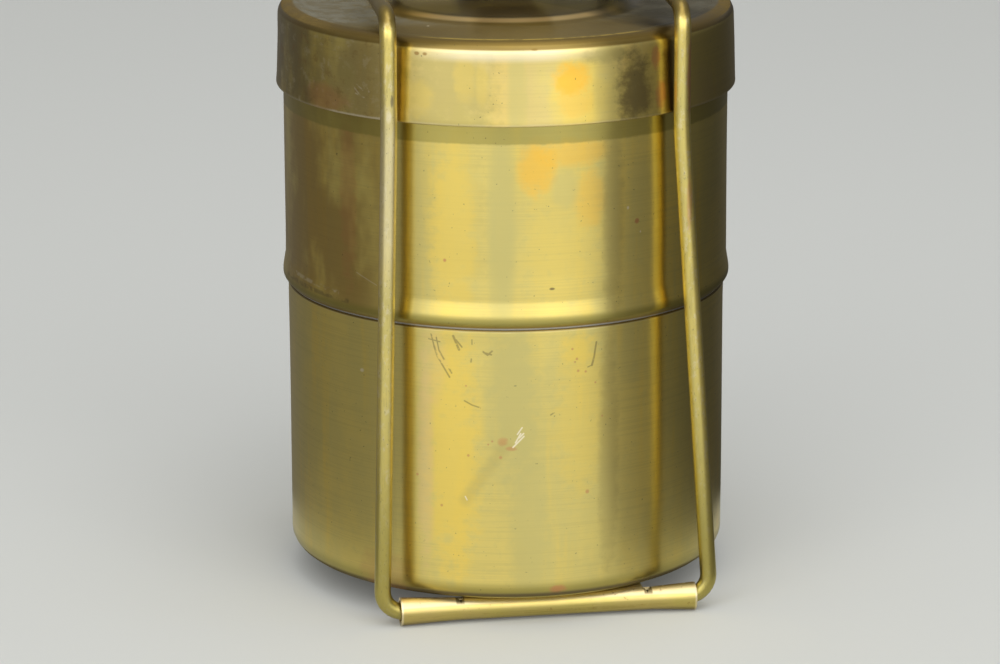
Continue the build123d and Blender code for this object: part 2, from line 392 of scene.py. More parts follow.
CLEAN = opaque(0.8, 0.65, 0.2)
OLIVE = opaque(0.65, 0.565, 0.21)
GOLD = opaque(0.92, 0.675, 0.135)
ROSE = opaque(0.82, 0.6, 0.27)
ORANGE = opaque(0.98, 0.57, 0.075)
PALE = opaque(0.96, 0.86, 0.62)
DULL = opaque(0.52, 0.43, 0.15)
MOSS = opaque(0.37, 0.315, 0.085)
BROWN = opaque(0.33, 0.18, 0.05)
# Dark brown: painted shade on the shoulders of the lid and rods and at the seam, and tarnish on the
# lid's top.
TARNISH_AND_SHADE = opaque(0.21, 0.14, 0.035)
UMBER = opaque(0.2, 0.155, 0.07)
COPPER = opaque(0.6, 0.27, 0.12)
# Near black brown, used only as painted shade at the lower container's foot.
FOOT_SHADE = opaque(0.1, 0.078, 0.048)
BLACK = opaque(0.07, 0.062, 0.04)
DUST = opaque(0.27, 0.25, 0.185)
TIN = opaque(0.6, 0.59, 0.56)


def front_angle(f):
    """Angle round the containers' axis, zero at the front and growing to the right."""
    return f.node("ShaderNodeMath", {"operation": "ARCTAN2"}, {0: f.x, 1: f.y * -1.0})


def unrolled(f, radius):
    """A point's place on the unrolled wall, in millimetres: round from the front, and up."""
    return front_angle(f) * radius, f.z * (1 / MM)


def spot(f, place, centre, size, fray=0.0):
    """A soft patch: 1 in the middle, 0 beyond its half width and half height.

    It is a smooth step of (x / a)^2 + (z / b)^2 about the centre; the fray shifts its edge.
    """
    across = (place[0] - centre[0]) * (1 / size[0])
    up = (place[1] - centre[1]) * (1 / size[1])
    return f.step(across * across + up * up + fray, 1.0, 0.1)


def stroke(f, place, start, end, width, soft=0.22):
    """How far a point is on a scratch: 1 on the segment from start to end, 0 beyond its width.

    With d the way from start to end, the nearest point is at t = clamp(p . d / d . d) along it.
    """
    dx, dz = end[0] - start[0], end[1] - start[1]
    px, pz = place[0] - start[0], place[1] - start[1]
    t = ((px * dx + pz * dz) * (1 / (dx * dx + dz * dz))).above(0.0).below(1.0)
    away = ((px - t * dx) ** 2.0 + (pz - t * dz) ** 2.0).root()
    return f.step(away, width + soft, width)


def any_of(shares):
    """The largest of several shares."""
    largest = shares[0]
    for share in shares[1:]:
        largest = largest.above(share)
    return largest


def strokes(f, place, rows):
    """Several scratches as one share, from (start, end, width) rows."""
    return any_of([stroke(f, place, *row) for row in rows])


def spots(f, place, fray, rows):
    """Several spots as one share, from (centre, size) rows."""
    return any_of([spot(f, place, *row, fray) for row in rows])


def patches(f, place, fray):
    """What makes one patch of a patina: a spot's share, its colour and how much it roughens."""
    def patch(centre, size, share, tint, roughening=0.0, edge=fray):
        return spot(f, place, centre, size, edge) * share, tint, roughening
    return patch


def spun_brass(name, radius, patina, inside=None):
    """Spun brass: fine rings, upright streaks and pits, with the patina's patches, painted shade
    and highlights among them, laid over them.

    The patina gives a share, a colour and a roughening for each patch, first to last; the fray
    makes their edges ragged. Inside gives the tinned side's wall radius, floor height and corner
    radius, in millimetres. With across and down measured from the corner's centre, neither below
    zero, the tinned side is where sqrt(across^2 + down^2) is no more than the corner's radius.
    """
    f = Finish(name)
    place = unrolled(f, radius)
    clouds = f.noise(f.stretched(38.0, 24.0), 4.0, 0.6)
    streaks = f.noise(f.stretched(130.0, 11.0), 3.0)
    mottle = f.noise(f.stretched(260.0, 320.0), 4.0, 0.65)
    rings = f.noise(f.stretched(26.0, 2300.0), 3.0, 0.6)
    specks = f.noise(f.stretched(1250.0, 1250.0), 1.0)
    pits = f.noise(f.stretched(420.0, 420.0), 3.0, 0.7)

    colour = f.blend(f.step(clouds, 0.42, 0.6) * 0.5, CLEAN, OLIVE)
    colour = f.blend(f.step(streaks, 0.5, 0.68) * 0.45, colour, GOLD)
    colour = f.blend(f.step(mottle, 0.5, 0.7) * 0.28, colour, OLIVE)
    colour = f.blend(f.step(rings, 0.47, 0.62) * 0.18, colour, DULL)
    rough = 0.27 + mottle * 0.05 + rings * 0.03
    dullness = 0.0
    # Dust, and the near black painted shade at the foot, make the brass less metallic.
    dust_and_shade = {DUST: 0.6, FOOT_SHADE: 0.95}    # how much less metallic each makes the brass
    fray = (mottle - 0.5) * 1.6
    for share, tint, roughening in patina(f, place, clouds, mottle, fray, patches(f, place, fray)):
        colour = f.blend(share, colour, tint)
        rough = rough + share * roughening
        if tint in dust_and_shade:
            dullness = share * dust_and_shade[tint] + dullness
    dark = f.step(specks, 0.72, 0.78) * f.step(pits, 0.48, 0.58) * 0.55
    colour = f.blend(dark, colour, BLACK)
    if inside is not None:
        wall_r, floor_z, corner_r = inside
        across = ((f.x * f.x + f.y * f.y).root() * (1 / MM) - (wall_r - corner_r)).above(0.0)
        down = (floor_z + corner_r - place[1]).above(0.0)
        tinned = f.step((across * across + down * down).root(), corner_r + 0.55, corner_r + 0.25)
        colour = f.blend(tinned, colour, TIN)
        rough = rough + tinned * 0.1
    height = rings * 0.5 + pits * 0.4 - dark * 0.8
    return f.shade(Base_Color=colour, Metallic=1.0 - dullness, Roughness=rough,
                   Anisotropic=0.75, Anisotropic_Rotation=0.25, Specular_IOR_Level=0.0,
                   Normal=f.bump(height, 0.3, 0.00006))


def rod_brass(name, marks=None):
    """Drawn rod: pale satin brass with lengthwise wear and pits, painted black shade where it lies
    in a barrel.

    The marks give more shares and colours, from the place across and up in millimetres.
    """
    f = Finish(name)
    x, _, z = f.in_mm()
    clouds = f.noise(f.stretched(170.0, 50.0), 3.0)
    wear = f.noise(f.stretched(1500.0, 150.0), 3.0, 0.6)
    mottle = f.noise(f.stretched(800.0, 420.0), 4.0, 0.65)
    pits = f.noise(f.stretched(2100.0, 800.0), 2.0, 0.7)
    colour = f.blend(f.step(clouds, 0.4, 0.66) * 0.6, CLEAN, OLIVE)
    colour = f.blend(f.step(wear, 0.5, 0.66) * 0.35, colour, DULL)
    colour = f.blend(f.step(mottle, 0.5, 0.3) * 0.4, colour, PALE)
    for share, tint in marks(f, (x, z), mottle) if marks else ():
        colour = f.blend(share, colour, tint)
    colour = f.blend(f.step(pits, 0.62, 0.72) * 0.45, colour, UMBER)
    # Painted shade: near black where the rod lies in a barrel, seen in the nicks.
    barrel_shade = f.step(z, strap_top_z + 0.2, strap_top_z - 0.4) \
        * f.step(x, strap_low[0] + 0.8, strap_low[0] + 1.6) \
        * f.step(x, strap_high[0] - 0.8, strap_high[0] - 1.6)
    colour = f.blend(barrel_shade * 0.95, colour, BLACK)
    return f.shade(Base_Color=colour, Metallic=1.0, Roughness=0.27 + mottle * 0.14 + barrel_shade * 0.2,
                   Normal=f.bump(pits * -0.7 + mottle * 0.5, 0.4, 0.00007))


def sheet_brass(name, marks=None, dullest=0.26):
    """Rolled or cut sheet: pale satin brass, faint rolling lines, browned spots."""
    f = Finish(name)
    clouds = f.noise(f.stretched(110.0, 110.0), 3.0)
    lines = f.noise(f.node("ShaderNodeCombineXYZ", inputs={
        0: f.x * 35.0, 1: f.y * 1500.0, 2: f.z * 1500.0}), 3.0, 0.6)
    mottle = f.noise(f.stretched(520.0, 520.0), 4.0, 0.65)
    colour = f.blend(f.step(clouds, 0.38, 0.66) * 0.5, CLEAN, ROSE)
    colour = f.blend(f.step(lines, 0.5, 0.68) * 0.3, colour, DULL)
    for share, tint in marks(f, mottle, lines) if marks else ():
        colour = f.blend(share, colour, tint)
    colour = f.blend(f.step(mottle, 0.62, 0.74) * 0.6, colour, BROWN)
    rough = dullest + mottle * 0.12 + lines * 0.06
    return f.shade(Base_Color=colour, Metallic=1.0, Roughness=rough,
                   Normal=f.bump(lines * 0.5 + mottle * 0.5, 0.3, 0.00005))


# ---- containers and lid ----

def ripple(a, z):
    """The slow unevenness of a spun wall: three crossed waves, a tenth of a millimetre in all."""
    return 0.055 * np.sin(3 * a + z / 23 + 1.1) + 0.035 * np.sin(7 * a - z / 13) \
        + 0.018 * np.sin(13 * a + z / 9 + 2.0)


crease_line = ((-21.5, 36.5), (-6.8, 58.0))    # round the wall from the front, and up
crease_depth, crease_half = 0.07, 2.2


def lower_unevenness(a, r, z):
    """Ripples that fade towards the floor and rim, and one long shallow crease across the front."""
    wall = ramp(r, 55, 60) * ramp(z, strap_top_z, strap_top_z + 8) * ramp(z, seam_z, seam_z - 5)
    around = np.angle(np.exp(1j * (a + pi / 2))) * lower_r
    start, end = np.array(crease_line)
    d = end - start
    t = np.clip(((around - start[0]) * d[0] + (z - start[1]) * d[1]) / (d @ d), 0, 1)
    away = np.hypot(around - start[0] - t * d[0], z - start[1] - t * d[1])
    crease = -crease_depth * np.exp(-((away / crease_half) ** 2)) \
        * np.sin(pi * np.clip(t, 0.02, 0.98))
    return (ripple(a, z) + crease - 0.06) * wall, 0.0


def upper_unevenness(a, r, z):
    """Ripples on the plain wall above the bead."""
    wall = ramp(r, 55, 60) * ramp(z, bead_top_z, bead_top_z + 6) \
        * ramp(z, upper_rim_z, upper_rim_z - 8)
    return (ripple(a + 1.0, z + 40) - 0.06) * wall, 0.0


def lid_unevenness(a, r, z):
    """Ripples on the skirt, and slight waves up and down on the top."""
    skirt = ramp(r, 60, 63) * ramp(z, crest_z - 4, crest_z - 9) * ramp(z, skirt_z, skirt_z + 3)
    top = ramp(r, 57, 49) * ramp(r, 4, 14)
    waves = 0.05 * np.sin(2 * a + 0.6) * np.sin(r / 9) + 0.03 * np.sin(5 * a + r / 7)
    return (ripple(a + 2.2, z) - 0.07) * skirt, (waves - 0.08) * top


def lower_patina(f, place, clouds, mottle, fray, patch):
    """Greener in the middle, golden left of it, painted shade at the foot, crease and rim,
    scratched below the rim.
    """
    around, up = place
    # A strip in front, just above the strap, that the painted shade at the foot leaves out.
    foot_shade_gap = f.step(up, strap_top_z + 1.2, strap_top_z + 0.7) \
        * f.step((around - 4).size(), 36, 28)
    scribbles = strokes(f, place, (
        ((-31.1, 83), (-30.3, 79.7), 0.1), ((-30.3, 79.7), (-29.4, 76.9), 0.16),
        ((-29.4, 76.9), (-25.9, 71.2), 0.13), ((-29.7, 82.6), (-28.9, 78.6), 0.08),
        ((-28.9, 78.6), (-25.3, 72.4), 0.14), ((-31.8, 81.6), (-28.6, 81), 0.06),
        ((-24.8, 82.9), (-23.2, 79.1), 0.22), ((-24, 81.8), (-22.4, 79.9), 0.12),
        ((-16.6, 78.8), (-15.3, 77.9), 0.16), ((-15.3, 77.9), (-14.1, 79), 0.13),
        ((-15.8, 78.4), (-14.3, 78), 0.12), ((-19.6, 82.1), (-19.6, 80.8), 0.05),
        ((-19.8, 76.6), (-19.9, 75.8), 0.1), ((-21.7, 64.7), (-19.6, 63.6), 0.1),
        ((-19.6, 63.6), (-17.3, 62.9), 0.08), ((15.1, 80.2), (14.4, 75.8), 0.16),
        ((14.4, 75.8), (13.8, 73.8), 0.2), ((13.8, 73.8), (12.6, 73.4), 0.05),
        ((2, 60.6), (3, 61.2), 0.08)))
    scuffs = strokes(f, place, (
        ((-8.4, 51.7), (-5.4, 54.8), 0.1), ((-7.7, 53), (-6.3, 55.6), 0.1),
        ((-5.9, 57.3), (-7.2, 55.4), 0.07), ((-5.5, 55.6), (-6.7, 54.4), 0.1),
        ((-21.6, 37.4), (-21.1, 36.4), 0.05)))
    dots = any_of([spot(f, place, centre, (size, size)) for *centre, size in (
        (8.1, 78.9, 0.45), (9.4, 76, 0.5), (8.8, 75.2, 0.35), (9.8, 72.6, 0.5),
        (12, 72.2, 0.45), (-21.3, 69, 0.35), (-11.8, 48.8, 0.6), (-20.7, 49.2, 0.5),
        (-14.1, 53.4, 0.4), (-15.2, 52.5, 0.35), (12.6, 37.8, 0.75), (-35.4, 42.6, 0.5),
        (-28.3, 34.4, 0.5),
        (14.9, 68.8, 0.4), (17, 59, 0.35))])
    return [
        patch((-25, 50), (10, 44), 0.75, GOLD),
        patch((11, 60), (10, 30), 0.4, GOLD),
        patch((10, 79), (7, 5), 0.5, GOLD),
        patch((-8.5, 66), (9, 34), 0.85, OLIVE),
        patch((-4, 28), (7, 34), 0.7, OLIVE),
        patch((19, 46), (4, 44), 0.6, DULL),
        patch((-33, 46), (3, 36), 0.5, ROSE),
        patch((-31, 74), (5, 14), 0.3, ROSE),
        # Painted shade along part of the crease.
        (stroke(f, place, crease_line[0], (-10.5, 52), 0.3, 2.6) * 0.35, DULL, 0.0),
        (spots(f, place, fray, (((-11.2, 53.4), (1.8, 1.6)), ((-8.9, 51.3), (1.9, 0.8)))) * 0.55,
         COPPER, 0.05),
        # Painted shade: darker towards the foot, and nearly black in the lowest band, where shade
        # falls under the container.
        (f.step(up, strap_top_z + 6.5, strap_top_z + 3) * 0.8, MOSS, 0.08),
        patch((4.1, 10.3), (3, 1.6), 0.75, COPPER, 0.08),
        (f.step(up, strap_top_z + 3, strap_top_z + 1.8) * (1.0 - foot_shade_gap) * 0.85, FOOT_SHADE, 0.25),
        patch((-46, 12), (10, 9), 0.25, COPPER, 0.05),
        patch((-53.4, 69.8), (1, 0.8), 0.8, PALE),
        (dots * 0.65, COPPER, 0.0),
        (scribbles * f.step(mottle, 0.36, 0.45) * 0.6, UMBER, 0.1),
        (scuffs * 0.95, PALE, 0.0),
        (f.step(up + (mottle - 0.5) * 0.8, seam_z - 0.75, seam_z - 0.45) * 0.2, PALE, 0.0),
        # Painted shade: a dark line on the rim, in the seam under the upper container's bead.
        (f.step(up, seam_z - 0.55, seam_z - 0.25) * 0.88, TARNISH_AND_SHADE, 0.05),
    ]


def upper_patina(f, place, clouds, mottle, fray, patch):
    """Golden under the lid, greener at the middle, brown to the left, painted shade under the lid
    and the bead.
    """
    around, up = place
    left = f.step(around, -38, -56) * f.step(around, -188, -140) \
        * f.step(clouds, 0.36, 0.56)
    # Painted shadow of the lid's skirt on the wall below it, fainter where the skirt covers it.
    painted_lid_shadow = f.step(up + (mottle - 0.5) * 0.8, 136.3, 137) \
        * f.step(up, 145, 140, 0.25, 1)
    dark_score = stroke(f, place, (-93, seam_z + 4.6), (-58, seam_z + 4.2), 0.2, 0.7) \
        * f.step(mottle, 0.38, 0.52)
    pale_score = stroke(f, place, (-92, seam_z + 6.6), (-62, seam_z + 5.9), 0.2, 0.6) \
        * f.step(mottle, 0.42, 0.56)
    return [
        patch((-30, 115), (18, 36), 0.3, DULL),
        patch((-25, 112), (8, 34), 0.55, GOLD),
        patch((6, 112), (13, 34), 0.3, GOLD),
        patch((-11.5, 115), (5, 44), 0.85, OLIVE, edge=fray * 0.3),
        patch((-2, 130), (6.5, 9.5), 0.7, ORANGE, edge=fray * 0.6),
        patch((8, 134), (13, 5), 0.5, ORANGE, edge=fray * 0.6),
        patch((13, 121), (6, 10), 0.4, ORANGE, edge=fray * 0.6),
        patch((6, 124), (5, 7), 0.55, OLIVE, 0.02),
        patch((20, 115), (4, 40), 0.6, DULL),
        (left * 0.6, BROWN, 0.04),
        patch((-58, 118), (4, 30), 0.3, COPPER),
        (painted_lid_shadow * 0.72, MOSS, 0.02),
        # Painted shade on the bead's lower half and at its foot, where it turns down towards the
        # seam.
        (f.step(up, seam_z + 4.9, seam_z + 2.6) * 0.88, MOSS, 0.06),
        (f.step(up, seam_z + 1.7, seam_z + 0.5) * 0.6, BROWN, 0.05),
        (dark_score * 0.55, UMBER, 0.05),
        (pale_score * 0.4, PALE, 0.0),
        patch((2.2, 96.4), (0.95, 0.45), 0.9, UMBER, 0.1),
        (spots(f, place, fray, (((27.6, 113), (0.9, 0.9)), ((-27.2, 104.2), (0.6, 0.6)))) * 0.8,
         COPPER, 0.0),
        (any_of([spots(f, place, 0.0, (((24.6, 117), (0.5, 0.6)), ((28.8, 109.8), (0.3, 0.4)))),
                 stroke(f, place, (-55, 97.5), (-48, 95), 0.05) * 0.4]) * 0.8, PALE, 0.0),
    ]


def lid_patina(f, place, clouds, mottle, fray, patch):
    """Dust and brown on the top, painted dark reflections and highlights on it and its edge, a
    golden spot and blotches on the skirt.
    """
    around, up = place
    x, y, _ = f.in_mm()
    out = (x * x + y * y).root()
    top = f.step(up, crest_z - 1.3, crest_z - 0.9)
    skirt = 1.0 - top
    front = f.step(y, -20, -40)
    ring = f.step(out, boss_foot_r - 2, boss_foot_r + 1.5) * top
    boss = f.step(out, boss_foot_r - 3.5, boss_foot_r - 7) * top
    shoulder = f.step(out, crest_r - 1.2, crest_r - 0.2) * f.step(up, crest_z - 2.6, crest_z - 2)
    left = f.step(around, -38, -52) * f.step(around, -190, -140) * skirt
    right = f.step(around, 22, 38) * f.step(around, 190, 140)
    far_left = f.step(around, -58, -78) * left * f.step(clouds, 0.34, 0.5, 0.55, 1)
    # Painted dark reflection on the right of the top and the shoulder.
    far_right = f.step(around, 34, 46) * right * (top + shoulder).below(1) \
        * f.step(clouds, 0.42, 0.56, 0.85, 0.55)
    # A painted highlight along the top of the skirt, below the shoulder, towards the front.
    painted_highlight = f.step((up - crest_z + 3.6).size(), 2.6, 0.4) \
        * f.step((around + 11).size(), 30, 8)
    worn_edge = f.step(up + (mottle - 0.5) * 0.7, skirt_z + 0.9, skirt_z + 0.35) \
        * f.step(around, -42, -47, 0.2, 1) * f.step(around, -66, -62, 0.3, 1)
    # A painted highlight: a crescent on the rise to the boss, at the front.
    painted_crescent = f.step((out - boss_r - 3).size(), 2.6, 0.6) * f.step(y, -12, -24) * top
    # A painted highlight: a thin gold line along the crest, at the front.
    painted_crest_glint = f.step((out - crest_r + 0.3).size(), 1, 0.2) \
        * f.step(around.size(), 40, 26) * f.step(mottle, 0.4, 0.52, 0.35, 1)
    scratches = strokes(f, place, (
        ((-55, 150), (-52.5, 147.8), 0.12), ((-53.8, 150.6), (-51.6, 149.4), 0.1),
        ((-54.2, 148.2), (-51.2, 147.4), 0.1), ((-50.6, 150.4), (-49.6, 149.2), 0.14)))
    return [
        (skirt * f.step(clouds, 0.42, 0.6) * 0.35, ROSE, 0.0),
        patch((-27, 150), (17, 24), 0.7, DULL),
        patch((-7.5, 150), (3.5, 20), 0.6, OLIVE, edge=fray * 0.5),
        (spots(f, place, fray, (((-21.5, 155), (3.8, 9)), ((-17, 154), (2.4, 8)),
                                ((-34.5, 149), (6, 6)))) * 0.3, GOLD, 0.0),
        patch((9.5, 149.5), (10, 15), 0.6, GOLD, edge=fray * 0.7),
        patch((7.4, 154.6), (6.2, 5.6), 0.9, ORANGE, edge=fray * 0.8),
        patch((8.4, 148), (6, 5), 0.3, ORANGE),
        # Painted shade where the skirt's highlight ends, right of the front.
        patch((16.5, 160.6), (9.5, 3), 0.85, DULL),
        patch((17, 150), (4.5, 16), 0.4, DULL, edge=fray * 0.6),
        (painted_highlight * 0.55, PALE, 0.0),
        patch((26, 150), (7, 12.5), 0.85, UMBER, 0.05),
        # Painted shade: darker towards the right side of the skirt.
        (right * skirt * 0.45, UMBER, 0.04),
        patch((39.5, 151), (5, 20), 0.75, UMBER, 0.05),
        (spots(f, place, fray, (((33.2, 158), (1.9, 4.4)), ((34.8, 147.5), (2.4, 5)))) * 0.65,
         COPPER, 0.0),
        (left * f.step(clouds, 0.38, 0.62) * 0.45, UMBER, 0.06),
        (far_left * 0.75, UMBER, 0.06),
        (left * f.step(mottle, 0.52, 0.68) * 0.4, BROWN, 0.04),
        (left * f.step(mottle, 0.44, 0.34) * 0.16, PALE, 0.06),
        patch((-66, 145), (11, 5), 0.45, COPPER, 0.05),
        patch((-58, 153), (4.5, 5), 0.45, DULL, 0.02),
        (scratches * f.step(mottle, 0.44, 0.54) * 0.4, PALE, 0.0),
        (spots(f, place, fray, (((-34.9, 161.1), (0.9, 0.6)), ((-32.6, 161.1), (0.9, 0.6)),
                                ((-2.8, 162.8), (1.2, 0.45)))) * 0.75, BROWN, 0.05),
        (worn_edge * 0.85, PALE, 0.0),
        # Tarnish over the whole top, with painted dark reflection in it.
        (top * 0.92, TARNISH_AND_SHADE, 0.05),
        (ring * (1.0 - front * 0.85) * f.step(mottle, 0.4, 0.56, 0.7, 1), DUST, 0.2),
        # Painted dark reflection on the boss.
        (boss * 0.92, UMBER, 0.03),
        (boss * 0.5, BLACK, 0.0),
        (painted_crescent * 0.8, ROSE, 0.0),
        (far_right, BLACK, 0.0),
        # Painted dark reflection on the shoulder, just above the painted highlight.
        (shoulder * 0.9, TARNISH_AND_SHADE, 0.0),
        (painted_crest_glint * 0.5, GOLD, 0.0),
        (spot(f, (x, y), (-27, -33.4), (0.5, 0.5)) * top, PALE, 0.1),
    ]


lower_container = dressed(
    spun("lower_container_shell", [(0, strap_top_z), (lower_r, strap_top_z), (lower_r, seam_z)],
         [lower_corner_r], 1, lower_unevenness),
    spun_brass("lower_brass", lower_r, lower_patina,
               (lower_r - sheet, strap_top_z + sheet, lower_corner_r - sheet)))

upper_container = dressed(
    spun("upper_container_shell",
         [(0, plug_z), (plug_r, plug_z), (plug_r, seam_z), (bead_foot_r, seam_z),
          (bead_r, seam_z + bead_widest[0]), (bead_r, seam_z + bead_widest[1]),
          (upper_r, bead_top_z - bead_blend), (upper_r, upper_rim_z)],
         [plug_corner_r, 0.3, 0.2, 1.5, 8.0, 8.0], 1, upper_unevenness, turns=288),
    spun_brass("upper_brass", upper_r, upper_patina,
               (upper_r - sheet, plug_z + sheet, plug_corner_r - sheet)))

lid = dressed(
    spun("lid_shell",
         [(0, boss_z), (boss_r, boss_z), (boss_foot_r, panel_z), (panel_r, panel_z),
          (crest_inner_r, crest_z), (lid_r, crest_z), (skirt_r, skirt_z)],
         [8.0, 8.0, 8.0, 1.2, lid_corner_r], -1, lid_unevenness),
    spun_brass("lid_brass", lid_r, lid_patina))


# ---- frames ----

def frame_path(front):
    """The rod's centre line: half the barrel run, leg, arm, crossbar and back; front is -1 or 1.

    Its two ends meet in the barrel, but for a small gap.
    """
    left, right = 0, 1
    butt_x = sum(foot_x) / 2
    butt_half_gap = 0.3
    points = [
        (butt_x + butt_half_gap, -hinge_y, hinge_z), (foot_x[right], -hinge_y, hinge_z),
        (top_x[right], -hinge_y, leg_bend_z), (top_x[right], -hinge_y, shoulder_z),
        (top_x[right], -crossbar_y, crossbar_z), (top_x[left], -crossbar_y, crossbar_z),
        (top_x[left], -hinge_y, shoulder_z), (top_x[left], -hinge_y, leg_bend_z),
        (foot_x[left], -hinge_y, hinge_z), (butt_x - butt_half_gap, -hinge_y, hinge_z)]
    radii = [rod_bend_r, leg_bend_r, *[rod_bend_r] * 4, leg_bend_r, rod_bend_r]
    return with_ends(rounded(points, radii, step=1.2), run=0.6) * (1, -front, 1)


def front_rod_marks(f, place, mottle):
    """Copper red up the right leg's outer side; a grey nick, a bright scuff and a painted highlight
    on the left leg.
    """
    fray = (mottle - 0.5) * 1.2
    left, right = top_x
    return [
        (spot(f, place, (right + 2, 152), (1.3, 14), fray) * 0.75, COPPER),
        (spot(f, place, (right + 1.9, 118), (1, 10), fray) * 0.5, COPPER),
        (spot(f, place, (left + 0.6, 148.6), (0.55, 2.2), fray) * 0.8, UMBER),
        (spot(f, place, (left - 0.3, 144.5), (0.9, 2.4), fray) * 0.6, PALE),
        (f.step(place[1], 75, 12) * 0.8, MOSS),
        # A painted highlight along the middle height of the left leg.
        (f.step((place[1] - 122).size(), 34, 10) * f.step(place[0], 0, -1) * 0.4, PALE),
        # Painted shade over the legs' shoulders, where they bend over the lid.
        (f.step(place[1] + (mottle - 0.5) * 2, 167, 170.6) * 0.85, TARNISH_AND_SHADE),
    ]


front_rod = dressed(rod("front_frame_rod", frame_path(-1), rod_r),
                    rod_brass("front_rod_brass", front_rod_marks))
rear_rod = dressed(rod("rear_frame_rod", frame_path(1), rod_r), rod_brass("rear_rod_brass"))


# ---- base strap ----

flare = (strap_high[1] - hinge_y) - barrel_r
nicks_x = (-22.4, 30.7)
nick_half = 1.1
nick_reach = 2.75
flare_start = nick_half + 0.4
barrel_back = -1.1          # the ends' edge, from the top line outwards
barrel_end_gap = 0.55       # left open between the blank's edge and the end of the roll


def barrel_radius(x):
    """The plain radius between the nicks, growing evenly towards each open end."""
    left, right = nicks_x[0] - flare_start, nicks_x[1] + flare_start
    return barrel_r + flare * (ramp(x, left, strap_low[0]) + ramp(x, right, strap_high[0]))


def nick_depth(x):
    """How far the blank's edge is cut back over the top: a V at each nick."""
    return sum(nick_reach * np.clip(1 - np.abs(x - nick) / nick_half, 0, 1) for nick in nicks_x)


def barrel(front):
    """The blank rolled round the rod: (x, -R sin v, R cos v), v measured from the top outwards.

    v runs from the edge, which is on the top line over the strap, a little behind it on the ends
    and cut back at the nicks, to just short of a full turn. Under the flared ends the barrel is
    worn flat on the floor.
    """
    x = np.unique(np.concatenate([
        np.linspace(strap_low[0], strap_high[0], 100),
        *[nick + np.linspace(-nick_half, nick_half, 13) for nick in nicks_x]]))[:, None]
    radius = barrel_radius(x)
    on_strap = (x > nicks_x[0]) & (x < nicks_x[1])
    start = np.where(on_strap, 0, barrel_back) + nick_depth(x) + 1e-3
    first = np.arcsin(start / radius)
    last = 2 * pi + np.minimum(barrel_back - barrel_end_gap, 0) / radius
    v = first + (last - first) * np.linspace(0, 1, 72)[None, :]
    y = front * (hinge_y + radius * np.sin(v))
    z = np.maximum(hinge_z + radius * np.cos(v), 0)
    return grid_of(x, y, z)


def strap_flat():
    """The flat between the barrels' top lines, level with their tops."""
    x = np.linspace(nicks_x[0] + nick_half, nicks_x[1] - nick_half, 40)[:, None]
    y = np.linspace(-hinge_y, hinge_y, 90)[None, :]
    return grid_of(x, y, strap_top_z)


def worn(piece, width, angle):
    """Wear round, by a small bevel, the edges that turn by more than the angle in degrees."""
    bevel = piece.modifiers.new("worn", "BEVEL")
    bevel.width, bevel.segments, bevel.limit_method = width * MM, 3, "ANGLE"
    bevel.angle_limit = radians(angle)
    return bevel


def thickened(piece, thickness, edge):
    """A wall of that thickness under the surface, with its edges worn round."""
    wall = piece.modifiers.new("wall", "SOLIDIFY")
    wall.thickness, wall.offset, wall.use_even_offset = thickness * MM, -1.0, True
    worn(piece, edge, angle=50)


def facing(piece, outward):
    """Turn the faces over if the one nearest the point, in millimetres, faces away from it."""
    mesh = piece.data
    point = Vector(outward) * MM
    nearest = min(mesh.polygons, key=lambda face: (face.center - point).length)
    if nearest.normal.dot(point - nearest.center) < 0:
        mesh.flip_normals()
    return piece


def barrel_marks(f, mottle, lines):
    """Rosy at the left end, brown along the ends' top back, a bright rim at each open end, a
    painted highlight on top, painted shade below it and in the nicks.
    """
    x, y, z = f.in_mm()
    ends = f.step(x, -23.5, -26.5) + f.step(x, 31.8, 34.5)
    back = f.step(y.size(), hinge_y + 1.2, hinge_y - 0.6) * f.step(z, 5.0, 6.4)
    nicks = any_of([f.step((x - nick).size(), 1.4, 0.9) for nick in nicks_x]) * f.step(z, 5.6, 6.3)
    rims = f.step(x, strap_low[0] + 0.7, strap_low[0] + 0.3) \
        + f.step(x, strap_high[0] - 0.7, strap_high[0] - 0.3)
    scored = f.step(lines, 0.5, 0.64) * f.step(z, 4.8, 3.0) * f.step(mottle, 0.36, 0.52)
    return [
        (f.step(x, -18.0, -34.0) * 0.55, ROSE),
        (scored * 0.35, BROWN),
        # A painted highlight along the barrel's top, and painted shade below it and at the bottom.
        (f.step(z, 5.4, 6.0) * 0.5, PALE),
        (f.step(z, 5.4, 4.0) * 0.6, MOSS),
        (f.step(z, 2.2, 0.4) * 0.6, UMBER),
        (ends * back * f.step(mottle, 0.36, 0.54) * 0.8, BROWN),
        (ends * back * f.step(mottle, 0.42, 0.34) * 0.4, PALE),
        (rims * 0.5, PALE),
        # Painted shade in the nicks.
        (nicks * 0.85, UMBER),
    ]


strap_brass = sheet_brass("strap_brass", barrel_marks, dullest=0.33)
strap_parts = [
    facing(surface("front_barrel", barrel(-1), closed=False), (0, -hinge_y - 30, hinge_z)),
    facing(surface("rear_barrel", barrel(1), closed=False), (0, hinge_y + 30, hinge_z)),
    facing(surface("strap_flat", strap_flat(), closed=False), (0, 0, 60)),
]
for part in strap_parts:
    thickened(dressed(part, strap_brass), strap_sheet, edge=0.12)


# ---- catch, hasp and handle ----

